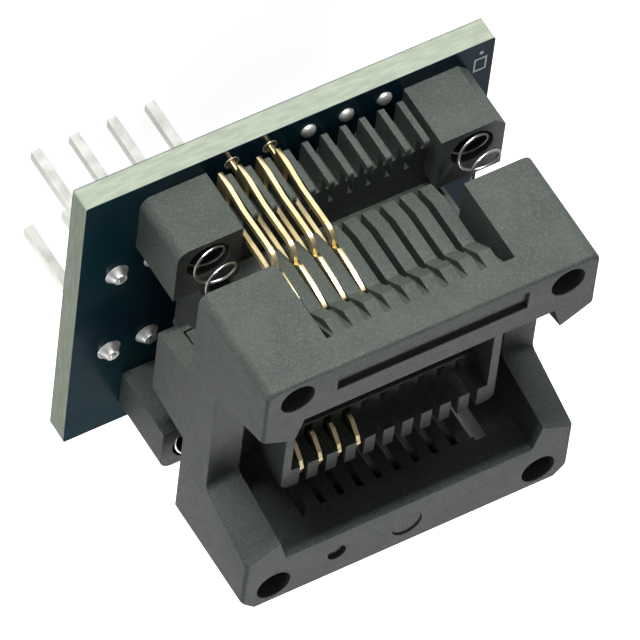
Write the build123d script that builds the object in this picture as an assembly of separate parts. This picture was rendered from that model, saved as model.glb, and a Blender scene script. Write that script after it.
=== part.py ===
"""Adapter that takes an eight-lead surface-mount chip to a DIP header.

A small circuit board carries a sprung open-top test socket and, under one end, an eight-pin
header. Millimetres. The origin is the centre of the pin pattern on the underside of the header
strips, +Z points to the pressing lid, +X to the header end and the pins point to -Z.
"""
from build123d import *
from math import cos, pi, sin
import os

# Header pins and the strips that carry them
pin_pitch = 2.54
pin_row_gap = 7.62
pins_per_row = 4
pin_side = 0.64
pin_below_strip = 6.6
pin_above_board = 0.55
pin_point_inset = 0.15
strip_width = 2.5
strip_height = 1.6
strip_nick = 0.4
press_clearance = 0.01

# Circuit board
board_thickness = 1.6
board_corner_radius = 0.15
board_header_margin = 2.54
board_far_margin = 1.7
board_side_margin = 1.37
pin_hole_diameter = 1.0
pin_hole_sides = 12
tail_hole_diameter = 0.8
tail_hole_sides = 8

# Solder joints
joint_sides = 10
pin_joint_diameter = 1.6
pin_joint_top_diameter = 1.0
pin_joint_height = 0.5
tail_joint_diameter = 1.15
tail_joint_top_diameter = 0.62
tail_joint_height = 0.55
pad_dome_diameter = 1.0
pad_dome_shoulder_diameter = 0.76
pad_dome_crown_diameter = 0.34
pad_dome_shoulder_height = 0.22
pad_dome_height = 0.36

# Contact positions along the socket
socket_centre_x = -7.75
lead_pitch = 1.27
slots_per_side = 10
loaded_slots = 4

# Stamped contacts, drawn in the plane across the socket
contact_thickness = 0.3
contact_outer = 11.1
contact_foot_height = 0.75
contact_plate_top = 1.9
leg_width = 0.46
leg_gap = 1.34
leg_lean = 0.25
leg_knee_height = 3.65
leg_bulge = 0.08
leg_bulge_height = 6.1
curl_top = 7.5
curl_round = 1.0
hub_top = 8.25
lever_setback = 0.85
lever_width = 0.5
lever_lean = 0.42
lever_cam_gap = 0.25
arm_root_run = 4.6
arm_elbow_run = 3.0
arm_underside_run = 4.1
arm_width = 0.72
arm_clearance = 0.18
contact_tip = 2.48
tip_seat_gap = 0.06
tail_width = 0.44
tail_outer_row = 10.33
tail_row_step = 2.54
tail_below_board = 0.9
plate_grip_inner = 7.2

# Socket base
base_half_width = 10.45
base_end_header = 10.5
base_end_far = 11.4
front_post_height = 4.4
rear_post_height = 5.0
front_post_inner = 5.9
rear_post_inner = 6.9
post_far_gap = 0.44
post_chamfer_far = 0.75
post_round_header = 0.8
comb_underside = 0.6
comb_top = 3.9
comb_back_top = 3.1
comb_tooth_depth = 0.55
comb_slot_width = 0.85
comb_slot_inner = 8.6
grip_slot_clearance = 0.02
fin_chamfer = 0.12

# Nest that seats the chip
nest_half_length = 8.2
nest_top_half_length = 7.2
nest_shoulder_height = 9.4
nest_half_width = 4.87
nest_top = 12.6
nest_underside = 1.4
seat_height = 10.8
well_half_length = 6.6
well_half_width = 3.17
body_relief_half_width = 2.0
body_relief_depth = 0.5
nest_slot_width = 0.5
nest_slot_inner = 2.25
nest_slot_floor = 9.0
nest_chamfer = 0.4

# Latch between the lid and the base
ledge_reach = 9.55
ledge_half_width = 2.6
ledge_thickness = 2.1
ledge_chamfer = 0.8
latch_clearance = 0.04
nose_reach = 9.12
nose_height = 0.58
nose_lead_in = 0.35
tongue_thickness = 1.3
tongue_half_width_top = 3.25
tongue_half_width_bottom = 2.7
tongue_bottom = 4.03
tongue_pocket_half_width = 3.6
tongue_pocket_top = 10.0

# Lid
lid_half_length = 11.05
lid_half_width = 11.0
lid_bottom = 7.7
lid_top = 15.6
lid_front_round = 0.7
lid_rear_chamfer = 0.9
lid_top_edge_round = 0.3
lid_opening_half_width = 7.03
lid_opening_half_length = 8.85
lid_opening_neck = 5.2
lid_opening_slant = 0.55
window_end_header = 6.0
window_end_far = 6.45
bar_bottom = 5.9
bar_outer = 9.85
bar_foot_relief = 0.5
bar_foot_relief_height = 1.6
bar_waist_height = 10.9
bar_shoulder_drop = 1.2
bar_foot_inner = 8.5
bar_foot_inner_height = 8.0
bar_slot_clearance = 0.05
rail_thickness = 2.1
bar_slot_slant = 0.3
bar_root_depth = 0.8
cam_height = 11.15
cam_inner = 9.2
cam_outer = 9.75
cam_relief = 0.2
notch_floor = 10.6
notch_top_half_outer = 6.4
notch_top_half_inner = 5.2
notch_floor_half_outer = 4.6
notch_floor_half_inner = 4.2
notch_round = 0.5
corner_hole_diameter = 2.2
corner_hole_depth = 3.2
corner_hole_x = 8.96
corner_hole_y = 9.5
panel_half_length = 6.3
panel_inner = 8.7
panel_outer = 10.2
panel_depth = 0.35
dimple_diameter = 1.2
dimple_depth = 0.3
dimple_x = 4.75
dimple_y = 8.95
ejector_mark_diameter = 2.0
ejector_mark_depth = 0.15
ejector_mark_x = 0.0
ejector_mark_y = 9.16

# Lid springs
spring_x_header = 8.35
spring_x_far = 9.2
spring_y = 8.65
spring_mean_diameter = 2.32
spring_wire = 0.22
spring_turns = 8
spring_sides_per_turn = 8
spring_radial_clearance = 0.14
spring_pocket_floor = 2.0
spring_pocket_roof = 11.0

# How far a cut reaches past the faces that it opens
cut_margin = 1.0

board_top = strip_height + board_thickness
board_end_header = (pins_per_row - 1) / 2 * pin_pitch + board_header_margin
board_end_far = socket_centre_x - base_end_far - board_far_margin
board_length = board_end_header - board_end_far
board_width = 2 * (tail_outer_row + board_side_margin)
socket_on_board = Pos(socket_centre_x, 0, board_top)
bar_slot_width = contact_thickness + 2 * bar_slot_clearance
bar_slot_top = lid_top - rail_thickness
spring_pocket_radius = spring_mean_diameter / 2 + spring_wire / 2 + spring_radial_clearance


def block(x_range, y_range, z_range):
    """Box between two corners."""
    spans = [high - low for low, high in (x_range, y_range, z_range)]
    centre = [(high + low) / 2 for low, high in (x_range, y_range, z_range)]
    return Pos(*centre) * Box(*spans)


def cross_section(points, width):
    """Solid of a closed outline in the plane across the socket, centred on its slot."""
    outline = make_face(Plane.YZ * Polyline(*points, close=True))
    return extrude(outline, amount=width / 2, both=True)


def slot_x(number):
    """Middle of a contact slot along the socket, slot 1 beside the header."""
    return lead_pitch * ((slots_per_side + 1) / 2 - number)


def post_start_header():
    """Inner end of a header-side post, at the edge of the first slot."""
    return slot_x(1) + comb_slot_width / 2


def post_start_far():
    """Inner end of a far post, past one more fin and a short gap."""
    return slot_x(1) + lead_pitch - comb_slot_width / 2 + post_far_gap


def tail_position(number):
    """Distance of a contact's tail from the middle plane: even slots use the outer row."""
    return tail_outer_row if number % 2 == 0 else tail_outer_row - tail_row_step


def both_rows(shape):
    """The shape and its copy across the middle plane of the socket."""
    return shape + mirror(shape, about=Plane.XZ)


def spring_place(end, side):
    """Axis of a corner spring; the posts of the far end lie further out."""
    return Pos(spring_x_header if end > 0 else -spring_x_far, side * spring_y, 0)


def facets(diameter, sides):
    """Polygon with flat sides round a circle of the diameter."""
    return RegularPolygon(diameter / 2, sides, major_radius=False)


def header_columns():
    """Places of the pins along one row."""
    first = -(pins_per_row - 1) / 2 * pin_pitch
    return [first + column * pin_pitch for column in range(pins_per_row)]


def make_pin():
    """Square pin with a point at each end, its middle on the row's line."""
    low = -pin_below_strip
    high = board_top + pin_above_board
    pin = block((-pin_side / 2, pin_side / 2), (-pin_side / 2, pin_side / 2), (low, high))
    ends = pin.faces().sort_by(Axis.Z)[0].edges() + pin.faces().sort_by(Axis.Z)[-1].edges()
    return chamfer(ends, pin_point_inset)


def make_strip():
    """Moulded strip of nicked cells with a square hole for each pin."""
    cell = chamfer(Rectangle(pin_pitch, strip_width).vertices(), strip_nick)
    outline = Sketch() + [Pos(x, 0) * cell for x in header_columns()]
    hole_side = pin_side + 2 * press_clearance
    holes = Sketch() + [Pos(x, 0) * Rectangle(hole_side, hole_side) for x in header_columns()]
    return extrude(outline - holes, amount=strip_height)


def make_board():
    """Board with the header holes and two staggered rows of contact holes on each side."""
    middle = (board_end_header + board_end_far) / 2
    outline = Pos(middle, 0) * RectangleRounded(board_length, board_width, board_corner_radius)
    pin_hole = facets(pin_hole_diameter, pin_hole_sides)
    tail_hole = facets(tail_hole_diameter, tail_hole_sides)
    for side in (-1, 1):
        outline -= [Pos(x, side * pin_row_gap / 2) * pin_hole for x in header_columns()]
        for number in range(1, slots_per_side + 1):
            outline -= Pos(socket_centre_x + slot_x(number), side * tail_position(number)) * tail_hole
    return Pos(0, 0, strip_height) * extrude(outline, amount=board_thickness)


def make_solder(rings):
    """Faceted solder form through rings given as diameter and height, from the lowest up."""
    return loft([Pos(0, 0, height) * facets(diameter, joint_sides) for diameter, height in rings], ruled=True)


def make_pin_joints():
    """Solder cones round the pins on the top face of the board."""
    cone = make_solder([(pin_joint_diameter, 0), (pin_joint_top_diameter, pin_joint_height)])
    cone -= Box(pin_side, pin_side, 4 * pin_joint_height)
    places = [(x, side * pin_row_gap / 2) for side in (-1, 1) for x in header_columns()]
    return Compound(children=[Pos(x, y, board_top) * cone for x, y in places])


def make_tail_joints():
    """Solder cones round the contact tails under the board and domes on the empty outer pads."""
    cone = make_solder([(tail_joint_top_diameter, -tail_joint_height), (tail_joint_diameter, 0)])
    cone -= Box(contact_thickness, tail_width, 4 * tail_joint_height)
    dome = make_solder([
        (pad_dome_diameter, 0),
        (pad_dome_shoulder_diameter, pad_dome_shoulder_height),
        (pad_dome_crown_diameter, pad_dome_height),
    ])
    joints = []
    for number in range(1, slots_per_side + 1):
        x = socket_centre_x + slot_x(number)
        for side in (-1, 1):
            y = side * tail_position(number)
            if number <= loaded_slots:
                joints.append(Pos(x, y, strip_height) * cone)
            elif number % 2 == 0:
                joints.append(Pos(x, y, board_top) * dome)
    return Compound(children=joints)


def round_corners(outline, corners, radius):
    """Outline with the corners nearest to the given points rounded."""
    chosen = [outline.vertices().sort_by_distance((0, y, z))[0] for y, z in corners]
    return fillet(chosen, radius)


def contact_window():
    """Opening between the two spring legs; the outer leg bends over at its top."""
    outer_side = contact_outer - leg_width
    knee_side = outer_side - leg_lean
    bulge_side = knee_side + leg_bulge
    inner_side = knee_side - leg_gap
    top = curl_top - leg_width
    points = [
        (outer_side, contact_plate_top), (knee_side, leg_knee_height), (bulge_side, leg_bulge_height),
        (bulge_side, top), (inner_side, top), (inner_side, contact_plate_top),
    ]
    window = make_face(Plane.YZ * Polyline(*points, close=True))
    return round_corners(window, [(bulge_side, top), (inner_side, top)], curl_round - leg_width)


def contact_body():
    """Stamped outline: foot plate, outer leg with its curl, cam lever, pressing arm, inner leg."""
    knee = contact_outer - leg_lean
    bulge = knee + leg_bulge
    inner_leg_inside = knee - 2 * leg_width - leg_gap
    root = contact_outer - lever_setback
    lean_middle = root - 0.4 * lever_lean
    end = root - lever_lean
    lever_top = cam_height - lever_cam_gap
    arm_top = nest_top - arm_clearance
    tip = contact_tip
    tip_low = seat_height + tip_seat_gap
    points = [
        (contact_outer, contact_foot_height), (contact_outer, contact_plate_top),
        (knee, leg_knee_height), (bulge, leg_bulge_height), (bulge, curl_top),
        (root - lever_width, curl_top), (root, curl_top + lever_width), (lean_middle, lever_top - 1.5),
        (end, lever_top - 0.25), (end - 0.15, lever_top), (end - 0.35, lever_top),
        (end - lever_width, lever_top - 0.2), (lean_middle - lever_width, lever_top - 1.5),
        (root - 1.1, hub_top + 0.35), (inner_leg_inside - 0.1, hub_top),
        (tip + arm_root_run, seat_height - 1.6), (tip + arm_elbow_run, seat_height + 0.5),
        (tip + 2.1, arm_top - 0.22), (tip + 1.3, arm_top), (tip + 0.75, arm_top - 0.22),
        (tip + 0.1, tip_low + 0.6),
        (tip, tip_low + 0.25), (tip + 0.08, tip_low), (tip + 0.35, tip_low + 0.14),
        (tip + 1.1, arm_top - arm_width + 0.05), (tip + 1.6, arm_top - arm_width),
        (tip + 2.2, seat_height + 0.3), (tip + arm_underside_run, seat_height - 2.3),
        (inner_leg_inside - 0.9, curl_top - 0.5), (inner_leg_inside, leg_bulge_height),
        (inner_leg_inside, contact_plate_top), (plate_grip_inner, contact_plate_top),
        (plate_grip_inner, contact_foot_height),
    ]
    body = make_face(Plane.YZ * Polyline(*points, close=True))
    return round_corners(body, [(bulge, curl_top)], curl_round)


def make_contact(number):
    """Stamped spring contact: tail, foot plate, two spring legs, cam lever and pressing arm."""
    stamping = extrude(contact_body() - contact_window(), amount=contact_thickness / 2, both=True)
    tail_middle = tail_position(number)
    tail = block(
        (-contact_thickness / 2, contact_thickness / 2),
        (tail_middle - tail_width / 2, tail_middle + tail_width / 2),
        (-board_thickness - tail_below_board, contact_foot_height + tail_width),
    )
    return Pos(slot_x(number), 0, 0) * (stamping + tail)


def make_post(x_range, outer_sign, inner, height):
    """Corner post of the base: rounded at the header end, chamfered at the far end, with a pocket."""
    post = block(x_range, (inner, base_half_width), (0, height))
    corner = post.edges().filter_by(Axis.Z).sort_by(Axis.Y)[-2:].sort_by(Axis.X)
    if outer_sign > 0:
        post = fillet(corner[-1], post_round_header)
    else:
        post = chamfer(corner[0], post_chamfer_far)
    pocket = Cylinder(spring_pocket_radius, 2 * (height - spring_pocket_floor))
    return post - spring_place(outer_sign, 1) * Pos(0, 0, height) * pocket


def make_base_side(inner, height):
    """Comb wall of one long side with its two corner posts, drawn on the +Y side."""
    side = block(
        (-post_start_far(), post_start_header()),
        (nest_half_width, base_half_width),
        (comb_underside, comb_top),
    )
    front_edges = side.edges().filter_by(Axis.X).sort_by(Axis.Y)[-2:]
    side = chamfer(front_edges, fin_chamfer)
    side -= block(
        (-post_start_far(), post_start_header()),
        (nest_half_width, base_half_width - comb_tooth_depth),
        (comb_back_top, comb_top),
    )
    side += block(
        (-nest_half_length, nest_half_length),
        (nest_half_width, rear_post_inner),
        (comb_underside, comb_back_top),
    )
    grip_width = contact_thickness + grip_slot_clearance
    comb_slot = block(
        (-comb_slot_width / 2, comb_slot_width / 2),
        (comb_slot_inner, base_half_width + comb_slot_width),
        (0, height),
    )
    grip_slot = block((-grip_width / 2, grip_width / 2), (plate_grip_inner, comb_slot_inner), (0, height))
    for number in range(1, slots_per_side + 1):
        side -= Pos(slot_x(number), 0, 0) * (comb_slot + grip_slot)
    side -= Pos(slot_x(slots_per_side + 1), 0, 0) * comb_slot
    side += make_post((post_start_header(), base_end_header), 1, inner, height)
    side += make_post((-base_end_far, -post_start_far()), -1, inner, height)
    return side


def make_base():
    """One moulding: four posts, a comb on each long side and the raised nest for the chip."""
    front = mirror(make_base_side(front_post_inner, front_post_height), about=Plane.XZ)
    return front + make_base_side(rear_post_inner, rear_post_height) + make_nest()


def make_nest():
    """Raised block with a well for the chip, lead slots and a latch ledge at each end."""
    nest = block(
        (-nest_half_length, nest_half_length),
        (-nest_half_width, nest_half_width),
        (nest_underside, nest_shoulder_height),
    )
    nest += block(
        (-nest_top_half_length, nest_top_half_length),
        (-nest_half_width, nest_half_width),
        (nest_shoulder_height, nest_top),
    )
    nest = chamfer(nest.edges().filter_by(Axis.Z), nest_chamfer)
    nest -= block(
        (-well_half_length, well_half_length),
        (-well_half_width, well_half_width),
        (seat_height, nest_top + seat_height),
    )
    nest -= block(
        (-well_half_length, well_half_length),
        (-body_relief_half_width, body_relief_half_width),
        (seat_height - body_relief_depth, nest_top),
    )
    lead_slot = block(
        (-nest_slot_width / 2, nest_slot_width / 2),
        (nest_slot_inner, 2 * nest_half_width),
        (nest_slot_floor, nest_top + seat_height),
    )
    for number in range(1, slots_per_side + 1):
        nest -= Pos(slot_x(number), 0, 0) * both_rows(lead_slot)
    ledge_bottom = tongue_bottom + nose_height + latch_clearance
    for end in (-1, 1):
        span = sorted((end * nest_half_length, end * ledge_reach))
        ledge = block(
            span,
            (-ledge_half_width, ledge_half_width),
            (ledge_bottom, ledge_bottom + ledge_thickness),
        )
        upper = ledge.edges().filter_by(Axis.Y).sort_by(Axis.Z)[-2:].sort_by(Axis.X)
        nest += chamfer(upper[-1] if end > 0 else upper[0], ledge_chamfer)
    return nest


def make_lid_frame():
    """Open frame of the lid with its finger notches, before the comb windows are cut."""
    frame = block(
        (-lid_half_length, lid_half_length),
        (-lid_half_width, lid_half_width),
        (lid_bottom, lid_top),
    )
    corners = frame.edges().filter_by(Axis.Z).sort_by(Axis.Y)
    frame = chamfer(corners[-2:], lid_rear_chamfer)
    corners = frame.edges().filter_by(Axis.Z).sort_by(Axis.Y)
    frame = fillet(corners[:2], lid_front_round)
    top_front = frame.faces().sort_by(Axis.Z)[-1].edges().sort_by(Axis.Y)[0]
    frame = fillet(top_front, lid_top_edge_round)
    slant_end = lid_opening_half_length - lid_opening_slant
    outline = [
        (slant_end, lid_opening_half_width), (lid_opening_half_length, lid_opening_neck),
        (lid_opening_half_length, -lid_opening_neck), (slant_end, -lid_opening_half_width),
        (-slant_end, -lid_opening_half_width), (-lid_opening_half_length, -lid_opening_neck),
        (-lid_opening_half_length, lid_opening_neck), (-slant_end, lid_opening_half_width),
    ]
    opening = extrude(make_face(Polyline(*outline, close=True)), amount=2 * lid_top)
    frame -= opening
    for end in (-1, 1):
        frame -= make_notch(end)
    return frame


def notch_outline(x, top_half, floor_half):
    """Trapezoid across an end wall, wider at the top, with rounded lower corners."""
    right = [(floor_half, notch_floor), (top_half, lid_top)]
    points = [(-y, z) for y, z in reversed(right)] + right
    face = make_face(Polyline(*points, close=True))
    lower = face.vertices().sort_by(Axis.Y)[:2]
    return Plane(origin=(x, 0, 0), x_dir=(0, 1, 0), z_dir=(1, 0, 0)) * fillet(lower, notch_round)


def make_notch(end):
    """Finger notch through an end wall, flaring outwards."""
    outside = notch_outline(end * lid_half_length, notch_top_half_outer, notch_floor_half_outer)
    inside = notch_outline(end * lid_opening_half_length, notch_top_half_inner, notch_floor_half_inner)
    return loft([inside.face(), outside.face()])


def make_lid_rail():
    """Cut-out for one window and the comb bars that fill it again."""
    window = block(
        (-window_end_far, window_end_header),
        (lid_opening_half_width - cut_margin, lid_half_width + cut_margin),
        (lid_bottom - cut_margin, bar_slot_top),
    )
    bar_root_top = bar_slot_top + bar_root_depth
    bar = [
        (bar_outer - bar_foot_relief, bar_bottom), (bar_outer, bar_bottom + bar_foot_relief_height),
        (bar_outer, bar_waist_height),
        (lid_half_width, bar_slot_top - bar_shoulder_drop), (lid_half_width, bar_root_top),
        (lid_opening_half_width, bar_root_top),
        (lid_opening_half_width, bar_foot_inner_height), (bar_foot_inner, bar_bottom),
    ]
    bars = cross_section(bar, slot_x(1) - slot_x(slots_per_side))
    slot = [
        (lid_half_width + cut_margin, bar_bottom - cut_margin),
        (lid_half_width + cut_margin, bar_slot_top),
        (lid_half_width, bar_slot_top), (cam_outer, cam_height), (cam_inner, cam_height),
        (cam_inner - cam_relief, bar_slot_top - bar_slot_slant),
        (lid_opening_half_width - cut_margin, bar_slot_top - bar_slot_slant),
        (lid_opening_half_width - cut_margin, bar_bottom - cut_margin),
    ]
    cut = cross_section(slot, bar_slot_width)
    slots = Part() + [Pos(slot_x(number), 0, 0) * cut for number in range(1, slots_per_side + 1)]
    return window, bars, slots


def make_tongue(end):
    """Latch leg under an end wall, tapering down to an inward nose."""
    inner = lid_half_length - tongue_thickness
    outline = [
        (-tongue_half_width_top, lid_bottom + tongue_thickness), (-tongue_half_width_top, lid_bottom),
        (-tongue_half_width_bottom, tongue_bottom), (tongue_half_width_bottom, tongue_bottom),
        (tongue_half_width_top, lid_bottom), (tongue_half_width_top, lid_bottom + tongue_thickness),
    ]
    face = make_face(Plane.YZ * Polyline(*outline, close=True))
    tongue = Pos(inner, 0, 0) * extrude(face, amount=tongue_thickness)
    nose = block(
        (nose_reach, inner),
        (-tongue_half_width_bottom, tongue_half_width_bottom),
        (tongue_bottom, tongue_bottom + nose_height),
    )
    lead_in = nose.edges().filter_by(Axis.Y).sort_by(Axis.Z)[:2].sort_by(Axis.X)[0]
    tongue += chamfer(lead_in, nose_lead_in)
    return tongue if end > 0 else mirror(tongue, about=Plane.YZ)


def make_lid():
    """One moulding: open frame, comb bars, latch legs, spring pockets and corner holes."""
    lid = make_lid_frame()
    window, bars, slots = make_lid_rail()
    lid = lid - both_rows(window) + both_rows(bars) - both_rows(slots)
    inner = lid_half_length - tongue_thickness
    spring_pocket = Cylinder(spring_pocket_radius, 2 * (spring_pocket_roof - lid_bottom))
    corner_hole = Cylinder(corner_hole_diameter / 2, 2 * corner_hole_depth)
    for end in (-1, 1):
        span = sorted((end * (lid_opening_half_length - cut_margin), end * inner))
        lid -= block(
            span,
            (-tongue_pocket_half_width, tongue_pocket_half_width),
            (lid_bottom - cut_margin, tongue_pocket_top),
        )
        lid += make_tongue(end)
        for side in (-1, 1):
            lid -= spring_place(end, side) * Pos(0, 0, lid_bottom) * spring_pocket
            lid -= Pos(end * corner_hole_x, side * corner_hole_y, lid_top) * corner_hole
    lid -= block(
        (-panel_half_length, panel_half_length),
        (-panel_outer, -panel_inner),
        (lid_top - panel_depth, lid_top + panel_depth),
    )
    lid -= Pos(dimple_x, dimple_y, lid_top) * Cylinder(dimple_diameter / 2, 2 * dimple_depth)
    ejector_mark = Cylinder(ejector_mark_diameter / 2, 2 * ejector_mark_depth)
    return lid - Pos(ejector_mark_x, ejector_mark_y, lid_top) * ejector_mark


def make_spring():
    """Compression spring between the post's pocket floor and the lid's pocket roof.

    The wire is lofted through square sections set along the helix, in straight facets.
    """
    radius = spring_mean_diameter / 2
    length = spring_pocket_roof - spring_pocket_floor - spring_wire
    count = spring_turns * spring_sides_per_turn
    rise_per_radian = length / (2 * pi * spring_turns)
    wire = Rectangle(spring_wire, spring_wire)
    sections = []
    for step in range(count + 1):
        angle = 2 * pi * step / spring_sides_per_turn
        outward = Vector(cos(angle), sin(angle), 0)
        along = Vector(-radius * sin(angle), radius * cos(angle), rise_per_radian)
        place = radius * outward + Vector(0, 0, length * step / count)
        sections.append(Plane(origin=place, x_dir=outward, z_dir=along) * wire)
    return Pos(0, 0, spring_pocket_floor + spring_wire / 2) * loft(sections, ruled=True)


def make_parts():
    """Every piece by node name, in the part's own frame."""
    parts = {"board": make_board(), "header_solder": make_pin_joints(), "tail_solder": make_tail_joints()}
    row = pin_row_gap / 2
    parts["header_strip_front"] = Pos(0, -row, 0) * make_strip()
    parts["header_strip_rear"] = Pos(0, row, 0) * make_strip()
    front = [(x, -row) for x in header_columns()]
    rear = [(x, row) for x in reversed(header_columns())]
    for number, (x, y) in enumerate(front + rear, start=1):
        parts[f"header_pin_{number}"] = Pos(x, y, 0) * make_pin()
    parts["socket_base"] = socket_on_board * make_base()
    parts["lid"] = socket_on_board * make_lid()
    for number in range(1, loaded_slots + 1):
        contact = make_contact(number)
        parts[f"contact_front_{number}"] = socket_on_board * mirror(contact, about=Plane.XZ)
        parts[f"contact_rear_{number}"] = socket_on_board * contact
    spring = make_spring()
    corners = {"front_left": (-1, -1), "front_right": (1, -1), "rear_left": (-1, 1), "rear_right": (1, 1)}
    for name, (end, side) in corners.items():
        parts[f"spring_{name}"] = socket_on_board * spring_place(end, side) * spring
    return parts


os.makedirs("parts", exist_ok=True)
for node, shape in make_parts().items():
    export_step(shape, f"parts/{node}.step")
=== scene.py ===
"""Looks of the adapter: a blue circuit board, a sprung open-top test socket and a pin header.

Lengths are in metres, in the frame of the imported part: +Z points from the pins to the lid and
+X to the header end.
"""
import math

import bmesh
import bpy
import numpy as np
from mathutils import Matrix, Vector


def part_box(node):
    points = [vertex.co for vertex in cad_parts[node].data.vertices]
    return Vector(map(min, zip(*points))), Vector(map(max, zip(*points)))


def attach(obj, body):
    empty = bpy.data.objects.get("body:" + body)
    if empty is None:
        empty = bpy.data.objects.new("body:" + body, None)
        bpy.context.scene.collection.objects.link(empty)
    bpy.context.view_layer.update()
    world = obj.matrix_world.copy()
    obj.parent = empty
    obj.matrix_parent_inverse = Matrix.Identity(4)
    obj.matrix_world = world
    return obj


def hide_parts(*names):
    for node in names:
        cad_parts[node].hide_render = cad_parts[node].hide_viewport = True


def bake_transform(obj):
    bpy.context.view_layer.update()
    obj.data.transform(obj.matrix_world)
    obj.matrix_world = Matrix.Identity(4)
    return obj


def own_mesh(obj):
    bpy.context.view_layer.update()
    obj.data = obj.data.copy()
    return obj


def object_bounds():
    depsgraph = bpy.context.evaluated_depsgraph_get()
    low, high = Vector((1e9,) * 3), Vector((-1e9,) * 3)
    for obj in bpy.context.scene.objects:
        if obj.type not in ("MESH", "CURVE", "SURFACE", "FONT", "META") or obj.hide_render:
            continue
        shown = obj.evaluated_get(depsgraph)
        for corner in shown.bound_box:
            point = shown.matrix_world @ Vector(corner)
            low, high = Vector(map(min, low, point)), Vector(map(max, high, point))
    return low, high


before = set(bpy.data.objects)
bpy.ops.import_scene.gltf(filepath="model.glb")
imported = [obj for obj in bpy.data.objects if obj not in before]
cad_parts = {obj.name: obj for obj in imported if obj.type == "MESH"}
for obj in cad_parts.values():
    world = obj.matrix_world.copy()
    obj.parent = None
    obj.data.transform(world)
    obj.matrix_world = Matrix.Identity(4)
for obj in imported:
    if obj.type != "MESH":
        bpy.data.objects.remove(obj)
cad_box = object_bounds()

MM = 0.001


# Lid and socket base: two mouldings in a dark glass-filled plastic with a fine matt skin.
# Their arrises are slightly soft, as a moulding's are, and the lit faces look grey.
moulding_edge = 0.05 * MM
moulding_colour = (0.054, 0.063, 0.055)
moulding_dark = (0.042, 0.051, 0.044)
moulding_fleck = (0.098, 0.113, 0.099)
moulding_roughness = 0.52
moulding_reflection = 0.3
gloss_spread = 0.03
patch_scale = 420.0
gloss_scale = 1500.0
fleck_scale = 7500.0
fleck_low = -0.3
fleck_high = 0.42
grain_scale = 9000.0
grain_detail = 3.0
grain_strength = 0.7
grain_depth = 0.025 * MM
noise_low = 0.3
noise_high = 0.7
sharp_angle = math.radians(28)
flat_angle = math.radians(0.5)
copy_weld = 1e-7


def speckle_group():
    """Noise at one scale, spread between two values: low + (high - low) * smoothstep(noise)."""
    group = bpy.data.node_groups.new("speckle", "ShaderNodeTree")
    sockets = group.interface
    for name, kind, default in (
        ("Vector", "NodeSocketVector", None),
        ("Scale", "NodeSocketFloat", 1000.0),
        ("Detail", "NodeSocketFloat", 2.0),
        ("Low", "NodeSocketFloat", 0.0),
        ("High", "NodeSocketFloat", 1.0),
    ):
        socket = sockets.new_socket(name, in_out="INPUT", socket_type=kind)
        if default is not None:
            socket.default_value = default
    sockets.new_socket("Value", in_out="OUTPUT", socket_type="NodeSocketFloat")
    nodes, links = group.nodes, group.links
    entry = nodes.new("NodeGroupInput")
    leave = nodes.new("NodeGroupOutput")
    noise = nodes.new("ShaderNodeTexNoise")
    spread = nodes.new("ShaderNodeMapRange")
    spread.interpolation_type = "SMOOTHSTEP"
    spread.inputs["From Min"].default_value = noise_low
    spread.inputs["From Max"].default_value = noise_high
    links.new(entry.outputs["Vector"], noise.inputs["Vector"])
    links.new(entry.outputs["Scale"], noise.inputs["Scale"])
    links.new(entry.outputs["Detail"], noise.inputs["Detail"])
    links.new(noise.outputs["Fac"], spread.inputs["Value"])
    links.new(entry.outputs["Low"], spread.inputs["To Min"])
    links.new(entry.outputs["High"], spread.inputs["To Max"])
    links.new(spread.outputs["Result"], leave.inputs["Value"])
    return group


speckle = speckle_group()


def new_material(name):
    """Empty material with its Principled shader, its output and object coordinates."""
    material = bpy.data.materials.new(name)
    material.use_nodes = True
    nodes = material.node_tree.nodes
    nodes.clear()
    output = nodes.new("ShaderNodeOutputMaterial")
    shader = nodes.new("ShaderNodeBsdfPrincipled")
    place = nodes.new("ShaderNodeTexCoord")
    material.node_tree.links.new(shader.outputs["BSDF"], output.inputs["Surface"])
    return material, shader, place.outputs["Object"]


def add_speckle(material, vector, scale, low, high, detail=2.0):
    """One speckle node in a material; its output runs between low and high."""
    node = material.node_tree.nodes.new("ShaderNodeGroup")
    node.node_tree = speckle
    node.inputs["Scale"].default_value = scale
    node.inputs["Detail"].default_value = detail
    node.inputs["Low"].default_value = low
    node.inputs["High"].default_value = high
    material.node_tree.links.new(vector, node.inputs["Vector"])
    return node.outputs["Value"]


def add_mix(material, factor, first, second):
    """Colour between first and second; each is a colour or the output of another node."""
    node = material.node_tree.nodes.new("ShaderNodeMix")
    node.data_type = "RGBA"
    material.node_tree.links.new(factor, node.inputs[0])
    for socket, value in ((node.inputs[6], first), (node.inputs[7], second)):
        if isinstance(value, tuple):
            socket.default_value = (*value, 1.0)
        else:
            material.node_tree.links.new(value, socket)
    return node.outputs[2]


def add_bump(material, shader, height, strength, distance):
    """Bump node from a height to the shader's normal."""
    node = material.node_tree.nodes.new("ShaderNodeBump")
    node.inputs["Strength"].default_value = strength
    node.inputs["Distance"].default_value = distance
    material.node_tree.links.new(height, node.inputs["Height"])
    material.node_tree.links.new(node.outputs["Normal"], shader.inputs["Normal"])


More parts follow.
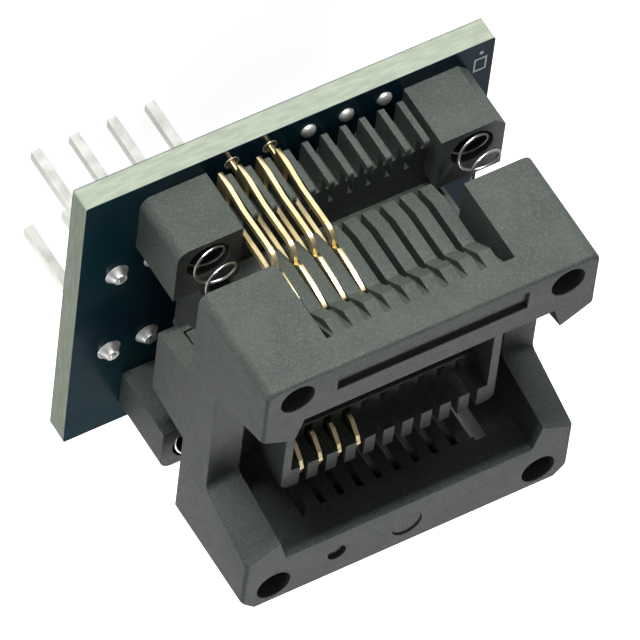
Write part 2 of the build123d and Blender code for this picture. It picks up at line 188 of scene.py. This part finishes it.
def moulding_material(name, light, dark, fleck):
    """Matt glass-filled plastic: faint cloudy patches, pale flecks, fine grain and uneven gloss."""
    material, shader, place = new_material(name)
    links = material.node_tree.links
    patches = add_speckle(material, place, patch_scale, 0.0, 1.0, grain_detail)
    flecks = add_speckle(material, place, fleck_scale, fleck_low, fleck_high, grain_detail)
    body = add_mix(material, patches, dark, light)
    links.new(add_mix(material, flecks, body, fleck), shader.inputs["Base Color"])
    low, high = moulding_roughness - gloss_spread, moulding_roughness + gloss_spread
    gloss = add_speckle(material, place, gloss_scale, low, high)
    links.new(gloss, shader.inputs["Roughness"])
    shader.inputs["Specular IOR Level"].default_value = moulding_reflection
    grain = add_speckle(material, place, grain_scale, 0.0, 1.0, grain_detail)
    add_bump(material, shader, grain, grain_strength, grain_depth)
    return material


def soft_edged(node, width, material, body, segments=2):
    """Merged copy of a solid with its arrises rounded by a small bevel; it stands for the node."""
    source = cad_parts[node].data
    work = bmesh.new()
    work.from_mesh(source)
    bmesh.ops.remove_doubles(work, verts=work.verts, dist=copy_weld)
    bmesh.ops.dissolve_limit(work, angle_limit=flat_angle, verts=work.verts, edges=work.edges)
    mesh = bpy.data.meshes.new(node + "_finished")
    work.to_mesh(mesh)
    work.free()
    mesh.materials.append(material)
    piece = bpy.data.objects.new(node + "_finished", mesh)
    bpy.context.scene.collection.objects.link(piece)
    mesh.set_sharp_from_angle(angle=sharp_angle)
    bevel = piece.modifiers.new("arris", "BEVEL")
    bevel.width = width
    bevel.segments = segments
    bevel.limit_method = "ANGLE"
    bevel.angle_limit = sharp_angle
    bevel.use_clamp_overlap = False
    bevel.harden_normals = True
    for polygon in mesh.polygons:
        polygon.use_smooth = True
    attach(piece, body)
    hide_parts(node)
    return piece


base_plastic = moulding_material("base_plastic", moulding_colour, moulding_dark, moulding_fleck)
lid_plastic = moulding_material("lid_plastic", moulding_colour, moulding_dark, moulding_fleck)
soft_edged("lid", moulding_edge, lid_plastic, "lid")
soft_edged("socket_base", moulding_edge, base_plastic, "base")


# Circuit board: glass-fibre laminate under a glossy blue solder mask on both faces.
# Its sawn edges show the bare laminate, pale green-white with faint layers of glass.
board_low, board_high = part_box("board")
mask_colour = (0.003, 0.018, 0.036)
mask_teal = (0.005, 0.034, 0.046)
laminate_colour = (0.33, 0.367, 0.292)
laminate_layer = (0.26, 0.30, 0.236)
fibre_stretch = 5.0
fibre_scale = 700.0
fibre_detail = 4.0
laminate_roughness = 0.6
cloud_scale = 160.0
weave_scale = 1400.0
weave_strength = 0.08
weave_depth = 0.02 * MM
mask_depth = 0.045 * MM
mask_roughness = 0.16
mask_reflection = 0.13


def board_material():
    """Solder mask on the two faces and layered laminate between them, told apart by height."""
    material, shader, place = new_material("board_laminate")
    nodes, links = material.node_tree.nodes, material.node_tree.links
    split = nodes.new("ShaderNodeSeparateXYZ")
    links.new(place, split.inputs["Vector"])
    middle = (board_low.z + board_high.z) / 2
    half = (board_high.z - board_low.z) / 2
    from_middle = nodes.new("ShaderNodeMath")
    from_middle.operation = "SUBTRACT"
    from_middle.inputs[1].default_value = middle
    links.new(split.outputs["Z"], from_middle.inputs[0])
    distance = nodes.new("ShaderNodeMath")
    distance.operation = "ABSOLUTE"
    links.new(from_middle.outputs[0], distance.inputs[0])
    is_mask = nodes.new("ShaderNodeMath")
    is_mask.operation = "GREATER_THAN"
    is_mask.inputs[1].default_value = half - mask_depth
    links.new(distance.outputs[0], is_mask.inputs[0])
    flatten = nodes.new("ShaderNodeVectorMath")
    flatten.operation = "MULTIPLY"
    flatten.inputs[1].default_value = (1.0, 1.0, fibre_stretch)
    links.new(place, flatten.inputs[0])
    fibres = add_speckle(material, flatten.outputs["Vector"], fibre_scale, 0.0, 1.0, fibre_detail)
    edge = add_mix(material, fibres, laminate_colour, laminate_layer)
    cloud = add_speckle(material, place, cloud_scale, 0.0, 1.0)
    mask = add_mix(material, cloud, mask_colour, mask_teal)
    links.new(add_mix(material, is_mask.outputs[0], edge, mask), shader.inputs["Base Color"])
    gloss = nodes.new("ShaderNodeMapRange")
    gloss.inputs["To Min"].default_value = laminate_roughness
    gloss.inputs["To Max"].default_value = mask_roughness
    links.new(is_mask.outputs[0], gloss.inputs["Value"])
    links.new(gloss.outputs["Result"], shader.inputs["Roughness"])
    shader.inputs["Specular IOR Level"].default_value = mask_reflection
    weave = add_speckle(material, place, weave_scale, 0.0, 1.0)
    add_bump(material, shader, weave, weave_strength, weave_depth)
    return material


board_laminate = board_material()
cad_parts["board"].data.materials.clear()
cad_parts["board"].data.materials.append(board_laminate)


# Header: two moulded strips under the board, each with four square tinned pins pressed in.
# The pins go through the board and are soldered on its top face.
strip_edge = 0.06 * MM
pin_edge = 0.03 * MM
strip_colour = (0.022, 0.022, 0.023)
strip_dark = (0.014, 0.014, 0.015)
strip_fleck = (0.035, 0.035, 0.036)
tin_colour = (0.94, 0.94, 0.89)
tin_dull = (0.87, 0.87, 0.81)
tin_roughness = (0.27, 0.35)
tin_scale = 500.0
tin_bump = 0.01
metal_gloss_ratio = 2.3
metal_bump_ratio = 4
metal_bump_depth = 0.02 * MM


def metal_material(name, bright, dull, roughness, scale, bump):
    """Bare or plated metal whose tone, gloss and skin vary, each over its own small scale."""
    material, shader, place = new_material(name)
    links = material.node_tree.links
    shader.inputs["Metallic"].default_value = 1.0
    tone = add_speckle(material, place, scale, 0.0, 1.0)
    links.new(add_mix(material, tone, bright, dull), shader.inputs["Base Color"])
    gloss = add_speckle(material, place, metal_gloss_ratio * scale, *roughness)
    links.new(gloss, shader.inputs["Roughness"])
    skin = add_speckle(material, place, metal_bump_ratio * scale, 0.0, 1.0)
    add_bump(material, shader, skin, bump, metal_bump_depth)
    return material


strip_plastic = moulding_material("strip_plastic", strip_colour, strip_dark, strip_fleck)
tin_plate = metal_material("tin_plate", tin_colour, tin_dull, tin_roughness, tin_scale, tin_bump)
for row in ("front", "rear"):
    soft_edged(f"header_strip_{row}", strip_edge, strip_plastic, "base")
pin_nodes = [f"header_pin_{number}" for number in range(1, 9)]
for node in pin_nodes:
    soft_edged(node, pin_edge, tin_plate, "base", 1)
pin_places = [(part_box(node)[0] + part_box(node)[1]) / 2 for node in pin_nodes]
pin_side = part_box(pin_nodes[0])[1].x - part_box(pin_nodes[0])[0].x


# Solder: a low cone round each header pin on the top face, one round each contact tail on the
# underside, and a dome on each empty tinned pad of the outer rows, as molten solder sets.
joint_height = 0.5 * MM
joint_radius = 0.74 * MM
joint_top_share = 0.62
joint_curve = 1.2
profile_steps = 12
tail_joint_height = 0.55 * MM
tail_joint_radius = 0.57 * MM
tail_joint_top = 0.27 * MM
dome_height = 0.36 * MM
dome_radius = 0.5 * MM
outer_row = 10.33 * MM
row_step = 2.54 * MM
pitch = 1.27 * MM
slots = 10
loaded = 4
socket_x = -7.75 * MM
solder_colour = (0.90, 0.90, 0.88)
solder_dull = (0.78, 0.78, 0.76)
solder_roughness = (0.42, 0.58)
solder_scale = 1100.0
solder_bump = 0.25
piece_weld = 1e-8


def revolve(profile, centre, sides):
    """Closed surface of revolution: profile points (radius, height) turned about Z at centre.

    Point (i, j) is centre + (r_i cos t_j, r_i sin t_j, z_i) with t_j evenly round the circle.
    """
    profile = np.asarray(profile, float)
    turn = np.linspace(0, 2 * np.pi, sides, endpoint=False)
    points = np.empty((len(profile), sides, 3))
    points[..., 0] = centre[0] + profile[:, :1] * np.cos(turn)
    points[..., 1] = centre[1] + profile[:, :1] * np.sin(turn)
    points[..., 2] = centre[2] + profile[:, 1:]
    return points


def grid_faces(rows, columns, close_rows=False, start=0):
    """Quads of a grid of rows by columns points, each row after the other and closed on itself."""
    last_row = rows if close_rows else rows - 1
    row, column = np.meshgrid(np.arange(last_row), np.arange(columns), indexing="ij")
    next_row, next_column = (row + 1) % rows, (column + 1) % columns
    quads = np.stack(
        [row * columns + column, row * columns + next_column, next_row * columns + next_column,
         next_row * columns + column], -1,
    )
    return quads.reshape(-1, 4) + start


def slot_x(number):
    """Place along the part of a contact slot, slot 1 beside the header."""
    return socket_x + pitch * ((slots + 1) / 2 - number)


def tail_y(number):
    """Distance of a slot's tail hole from the middle plane: even slots use the outer row."""
    return outer_row if number % 2 == 0 else outer_row - row_step


def add_piece(name, points, faces, material, body, stands_for=()):
    """New mesh object from arrays, with outward normals, that rides on a body."""
    mesh = bpy.data.meshes.new(name)
    corners = np.asarray(points, float).reshape(-1, 3).tolist()
    mesh.from_pydata(corners, [], [list(map(int, face)) for face in faces])
    work = bmesh.new()
    work.from_mesh(mesh)
    bmesh.ops.remove_doubles(work, verts=work.verts, dist=piece_weld)
    bmesh.ops.recalc_face_normals(work, faces=work.faces)
    work.to_mesh(mesh)
    work.free()
    mesh.materials.append(material)
    for polygon in mesh.polygons:
        polygon.use_smooth = True
    mesh.set_sharp_from_angle(angle=sharp_angle)
    piece = bpy.data.objects.new(name, mesh)
    bpy.context.scene.collection.objects.link(piece)
    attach(piece, body)
    if stands_for:
        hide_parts(*stands_for)
    return piece


def fillet_profile(foot, top, height):
    """Side of a solder joint: r = top + (foot - top) (1 - s)^joint_curve as s goes from 0 to 1."""
    share = np.linspace(0, 1, profile_steps)
    radius = top + (foot - top) * (1 - share) ** joint_curve
    return np.column_stack([radius, share * height])


def revolved_group(name, shapes, material, body, stands_for=(), sides=40):
    """One object from several closed turned shapes, each a profile with its centre."""
    points, faces, start = [], [], 0
    for profile, centre in shapes:
        rings = revolve(profile, centre, sides)
        points.append(rings.reshape(-1, 3))
        faces.append(grid_faces(len(rings), sides, start=start))
        start += len(rings) * sides
    return add_piece(name, np.vstack(points), np.vstack(faces), material, body, stands_for)


solder = metal_material(
    "solder", solder_colour, solder_dull, solder_roughness, solder_scale, solder_bump
)
joint_side = fillet_profile(joint_radius, pin_side * joint_top_share, joint_height)
joint = np.vstack([[(0, 0)], joint_side, [(0, joint_height)]])
pin_shapes = [(joint, (place.x, place.y, board_high.z)) for place in pin_places]
revolved_group("header_solder_cones", pin_shapes, solder, "base", ["header_solder"])
tail_side = fillet_profile(tail_joint_radius, tail_joint_top, tail_joint_height)
tail_side[:, 1] *= -1
tail_joint = np.vstack([[(0, 0)], tail_side, [(0, -tail_joint_height)]])
arc = np.linspace(0, np.pi / 2, profile_steps)
dome = np.column_stack([dome_radius * np.cos(arc), dome_height * np.sin(arc)])
dome = np.vstack([[(0, 0)], dome[:-1], [(0, dome_height)]])
tail_shapes = []
for number in range(1, slots + 1):
    for side in (-1, 1):
        x, y = slot_x(number), side * tail_y(number)
        if number <= loaded:
            tail_shapes.append((tail_joint, (x, y, board_low.z)))
        elif number % 2 == 0:
            tail_shapes.append((dome, (x, y, board_high.z)))
revolved_group("tail_solder_cones", tail_shapes, solder, "base", ["tail_solder"])


# Plated holes: tinned copper rings on both faces of the board, joined by a thin barrel plated
# through the drilled hole. They stand a hair above the mask at every header and contact hole.
pad_rise = 0.015 * MM
pin_pad_radius = 0.76 * MM
pin_hole_radius = 0.5 * MM
tail_pad_radius = 0.5 * MM
tail_hole_radius = 0.4 * MM
barrel_wall = 0.025 * MM


def eyelet(pad_radius, hole_radius):
    """Profile of a plated hole: two flat rims and the barrel between them, closed into a ring."""
    top, bottom = board_high.z, board_low.z
    inner = hole_radius - barrel_wall
    return [
        (pad_radius, top), (pad_radius - pad_rise / 2, top + pad_rise), (inner, top + pad_rise),
        (inner, bottom - pad_rise), (pad_radius - pad_rise / 2, bottom - pad_rise),
        (pad_radius, bottom), (hole_radius, bottom), (hole_radius, top), (pad_radius, top),
    ]


pin_eyelet = eyelet(pin_pad_radius, pin_hole_radius)
tail_eyelet = eyelet(tail_pad_radius, tail_hole_radius)
plated = [(pin_eyelet, (place.x, place.y, 0)) for place in pin_places]
for number in range(1, slots + 1):
    for side in (-1, 1):
        plated.append((tail_eyelet, (slot_x(number), side * tail_y(number), 0)))
revolved_group("plated_holes", plated, solder, "base", sides=32)


# Copper tracks: eight thin strips under the mask of the board's underside, one from each header
# pin to its contact. The rear row mirrors the front row.
track_width = 0.3 * MM
track_rise = 0.035 * MM
track_colour = (0.010, 0.045, 0.060)
track_lines = (
    ((3.65, -5.06), (1.6, -7.11), (-1.355, -7.11), (-2.035, -7.79)),
    ((0.81, -5.06), (-0.5, -6.37), (-2.875, -6.37), (-3.305, -6.8), (-3.305, -10.33)),
    ((-2.33, -5.06), (-4.575, -7.3), (-4.575, -7.79)),
    ((-3.97, -5.06), (-5.845, -6.935), (-5.845, -10.33)),
)


def ribbon(line, width, low, high, closed=False):
    """Flat strip along a line of (x, y) points with mitred corners.

    A corner's sideways step is (a + b) / (1 + a . b) * width / 2, with a and b the unit normals
    of the two legs that meet there.
    """
    line = np.asarray(line, float)
    ahead = np.roll(line, -1, 0) - line if closed else np.diff(line, axis=0)
    normal = np.column_stack([-ahead[:, 1], ahead[:, 0]]) / np.linalg.norm(ahead, axis=1, keepdims=True)
    before = np.roll(normal, 1, 0) if closed else np.vstack([normal[:1], normal])
    after = normal if closed else np.vstack([normal, normal[-1:]])
    step = (before + after) / (1 + np.sum(before * after, axis=1, keepdims=True)) * width / 2
    left, right = line + step, line - step
    rings = np.empty((len(line), 4, 3))
    rings[:, 0, :2], rings[:, 1, :2], rings[:, 2, :2], rings[:, 3, :2] = left, right, right, left
    rings[:, :2, 2], rings[:, 2:, 2] = low, high
    faces = [list(face) for face in grid_faces(len(line), 4, close_rows=closed)]
    if not closed:
        faces += [[0, 1, 2, 3], [4 * len(line) - 4 + corner for corner in range(4)]]
    return rings.reshape(-1, 3), faces


def ribbon_group(name, lines, width, low, high, material, closed=False):
    """One object from several strips of one width and height."""
    points, faces, start = [], [], 0
    for line in lines:
        strip_points, strip_faces = ribbon(line, width, low, high, closed)
        points.append(strip_points)
        faces += [[corner + start for corner in face] for face in strip_faces]
        start += len(strip_points)
    return add_piece(name, np.vstack(points), faces, material, "base")


track_mask, track_shader, _ = new_material("track_mask")
track_shader.inputs["Base Color"].default_value = (*track_colour, 1.0)
track_shader.inputs["Roughness"].default_value = mask_roughness
front_tracks = [np.asarray(line) * MM for line in track_lines]
rear_tracks = [line * (1, -1) for line in front_tracks]
ribbon_group("tracks", front_tracks + rear_tracks, track_width, board_low.z - track_rise, board_low.z,
             track_mask)


# White print: a small outline and a dot in epoxy ink near the far front corner of the board.
# It carries no lettering.
ink_rise = 0.02 * MM
ink_width = 0.11 * MM
ink_colour = (0.24, 0.30, 0.31)
ink_frame = np.array(((-20.35, -10.2), (-19.6, -10.2), (-19.6, -9.1), (-20.35, -9.1))) * MM
ink_dot = (-19.98 * MM, -10.75 * MM)
ink_dot_radius = 0.14 * MM
ink_roughness = 0.5

white_ink, ink_shader, _ = new_material("white_ink")
ink_shader.inputs["Base Color"].default_value = (*ink_colour, 1.0)
ink_shader.inputs["Roughness"].default_value = ink_roughness
ribbon_group("print_outline", [ink_frame], ink_width, board_high.z, board_high.z + ink_rise, white_ink,
             closed=True)
dot_profile = [(0, 0), (ink_dot_radius, 0), (ink_dot_radius, ink_rise), (0, ink_rise)]
dot_shapes = [(dot_profile, (*ink_dot, board_high.z))]
revolved_group("print_dot", dot_shapes, white_ink, "base", sides=20)


# Contacts: eight flat springs stamped from thin copper alloy and plated pale gold.
# Their feet sit in the base; the lid's bars push the levers down while the tips stay put.
contact_edge = 0.03 * MM
gold_colour = (0.90, 0.76, 0.45)
gold_deep = (0.81, 0.66, 0.35)
gold_roughness = (0.30, 0.40)
gold_scale = 500.0
gold_bump = 0.02
tail_past_board = 0.5 * MM
tail_end = board_low.z - tail_past_board

gold_plate = metal_material("gold_plate", gold_colour, gold_deep, gold_roughness, gold_scale, gold_bump)


def contact_piece(node):
    """Bevelled copy of a contact, its tail cut off at the solder.
    """
    piece = soft_edged(node, contact_edge, gold_plate, "base", 1)
    evaluated = piece.evaluated_get(bpy.context.evaluated_depsgraph_get())
    applied = bpy.data.meshes.new_from_object(evaluated)
    piece.modifiers.clear()
    piece.data = applied
    piece.parent = None
    for vertex in applied.vertices:
        vertex.co.z = max(vertex.co.z, tail_end)
    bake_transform(piece)
    return piece


for side_name, side in (("front", -1), ("rear", 1)):
    for number in range(1, loaded + 1):
        contact_piece(f"contact_{side_name}_{number}")


# Lid springs: four compression springs of hard-drawn steel wire, one in each corner between
# a post and the lid. Their end turns are closed; they shorten as the lid goes down.
spring_mean_radius = 1.16 * MM
spring_wire = 0.088 * MM
spring_turns = 8.5
closed_turns = 1.1
ramp_start = 0.6 * closed_turns
ramp_length = 0.8 * closed_turns
closed_slack = 1.02
steps_per_turn = 40
wire_sides = 12
spring_colour = (0.56, 0.56, 0.54)
spring_dark = (0.46, 0.46, 0.44)
spring_roughness = (0.30, 0.40)
spring_scale = 1800.0
spring_bump = 0.01


def spring_mesh(low, high):
    """Round wire on a helix whose pitch is one wire at both ends and even between them.

    Height runs as the sum of a smooth pitch; a ring of points stands square to the helix.
    """
    centre = (low + high) / 2
    turns = np.linspace(0, spring_turns, int(spring_turns * steps_per_turn) + 1)
    near_end = np.minimum(turns, spring_turns - turns)
    share = np.clip((near_end - ramp_start) / ramp_length, 0, 1)
    rate = share * share * (3 - 2 * share)
    room = (high.z - low.z) - 2 * spring_wire
    closed_rise = 2 * spring_wire * closed_slack
    steps = np.diff(turns)
    open_area = np.sum((rate[1:] + rate[:-1]) / 2 * steps)
    open_rise = (room - closed_rise * spring_turns) / open_area
    slope = closed_rise + open_rise * rate
    height = np.concatenate([[0], np.cumsum((slope[1:] + slope[:-1]) / 2 * steps)])
    angle = 2 * np.pi * turns
    line = np.column_stack(
        [centre.x + spring_mean_radius * np.cos(angle), centre.y + spring_mean_radius * np.sin(angle),
         low.z + spring_wire + height]
    )
    outward = np.column_stack([np.cos(angle), np.sin(angle), np.zeros_like(angle)])
    tangent = np.gradient(line, axis=0)
    tangent /= np.linalg.norm(tangent, axis=1, keepdims=True)
    upward = np.cross(tangent, outward)
    ring = np.linspace(0, 2 * np.pi, wire_sides, endpoint=False)
    points = (
        line[:, None, :]
        + spring_wire * np.cos(ring)[None, :, None] * outward[:, None, :]
        + spring_wire * np.sin(ring)[None, :, None] * upward[:, None, :]
    )
    faces = [list(face) for face in grid_faces(len(line), wire_sides)]
    faces.append(list(range(wire_sides)))
    faces.append(list(range((len(line) - 1) * wire_sides, len(line) * wire_sides)))
    return points, faces


spring_steel = metal_material(
    "spring_steel", spring_colour, spring_dark, spring_roughness, spring_scale, spring_bump
)
for corner in ("front_left", "front_right", "rear_left", "rear_right"):
    node = f"spring_{corner}"
    low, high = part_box(node)
    points, faces = spring_mesh(low, high)
    coil = add_piece(f"{node}_wire", points, faces, spring_steel, "base", [node])
    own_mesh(coil)


# Floor, light and camera: a white sweep under soft lamps, and a long lens at the photograph's
# angle, rolled so that the part's upright runs to the lower right.
look_at = Vector((-7.202, 1.334, 8.397)) * MM
camera_azimuth = math.radians(22.756)
camera_elevation = math.radians(27.815)
camera_roll = math.radians(145.613)
camera_distance = 654.874 * MM
camera_lens = 633.483
camera_sensor = 36.0
camera_near = 0.05
camera_far = 10.0
floor_half = 2.0
floor_white = (0.93, 0.93, 0.93, 1)
floor_roughness = 0.9
floor_reflection = 0.1
seen_lift = 0.8
mirrored_lift = 0.35
surround_level = 0.2
lamps = (
    ("front", (0.02, -0.38, 0.018), 0.26, 0.035, 1.5),
    ("side", (0.34, 0.14, 0.07), 0.20, 0.10, 0.16),
    ("back", (-0.06, 0.26, 0.28), 0.24, 0.16, 0.72),
)


def add_camera():
    """Camera on a line from the object at the azimuth and elevation, turned about that line."""
    back = Vector((
        math.sin(camera_azimuth) * math.cos(camera_elevation),
        -math.cos(camera_azimuth) * math.cos(camera_elevation),
        math.sin(camera_elevation),
    ))
    level = back.to_track_quat("Z", "Y").to_matrix()
    turned = level @ Matrix.Rotation(camera_roll, 3, "Z")
    data = bpy.data.cameras.new("camera")
    data.lens = camera_lens
    data.sensor_width = camera_sensor
    data.clip_start = camera_near
    data.clip_end = camera_far
    camera = bpy.data.objects.new("camera", data)
    camera.matrix_world = Matrix.Translation(look_at + back * camera_distance) @ turned.to_4x4()
    bpy.context.scene.collection.objects.link(camera)
    bpy.context.scene.camera = camera


def add_lamp(name, place, width, height, level):
    """Flat lamp facing the object; a white face square to it renders at the level."""
    data = bpy.data.lights.new(name, "AREA")
    data.shape = "RECTANGLE"
    data.size = width
    data.size_y = height
    data.energy = level * math.pi ** 2 * (look_at - Vector(place)).length_squared
    lamp = bpy.data.objects.new(name, data)
    lamp.location = Vector(place)
    lamp.rotation_mode = "QUATERNION"
    lamp.rotation_quaternion = (look_at - Vector(place)).to_track_quat("-Z", "Y")
    bpy.context.scene.collection.objects.link(lamp)


def add_floor():
    """Large white floor at the pin points; its own glow lifts it to white and leaves the shadow."""
    level = cad_box[0].z
    signs = ((-1, -1), (1, -1), (1, 1), (-1, 1))
    corners = [(x * floor_half, y * floor_half, level) for x, y in signs]
    mesh = bpy.data.meshes.new("floor")
    mesh.from_pydata(corners, [], [(0, 1, 2, 3)])
    floor = bpy.data.objects.new("floor", mesh)
    bpy.context.scene.collection.objects.link(floor)
    material = bpy.data.materials.new("floor_paper")
    material.use_nodes = True
    shader = material.node_tree.nodes["Principled BSDF"]
    shader.inputs["Base Color"].default_value = floor_white
    shader.inputs["Roughness"].default_value = floor_roughness
    shader.inputs["Specular IOR Level"].default_value = floor_reflection
    nodes, links = material.node_tree.nodes, material.node_tree.links
    rays = nodes.new("ShaderNodeLightPath")
    mirrored = nodes.new("ShaderNodeMath")
    mirrored.operation = "MULTIPLY"
    mirrored.inputs[1].default_value = mirrored_lift
    links.new(rays.outputs["Is Glossy Ray"], mirrored.inputs[0])
    lift = nodes.new("ShaderNodeMath")
    lift.operation = "MULTIPLY_ADD"
    lift.inputs[1].default_value = seen_lift
    links.new(rays.outputs["Is Camera Ray"], lift.inputs[0])
    links.new(mirrored.outputs[0], lift.inputs[2])
    shader.inputs["Emission Color"].default_value = (1, 1, 1, 1)
    links.new(lift.outputs[0], shader.inputs["Emission Strength"])
    mesh.materials.append(material)


def add_world():
    """White surround: full white where the camera sees it, dim where it lights the object."""
    world = bpy.data.worlds.new("studio")
    world.use_nodes = True
    nodes, links = world.node_tree.nodes, world.node_tree.links
    background = nodes["Background"]
    background.inputs["Color"].default_value = (1, 1, 1, 1)
    rays = nodes.new("ShaderNodeLightPath")
    level = nodes.new("ShaderNodeMapRange")
    level.inputs["To Min"].default_value = surround_level
    level.inputs["To Max"].default_value = 1.0
    links.new(rays.outputs["Is Camera Ray"], level.inputs["Value"])
    links.new(level.outputs["Result"], background.inputs["Strength"])
    bpy.context.scene.world = world


add_world()
add_floor()
for lamp in lamps:
    add_lamp(*lamp)
add_camera()
bpy.context.scene.view_settings.view_transform = "Standard"
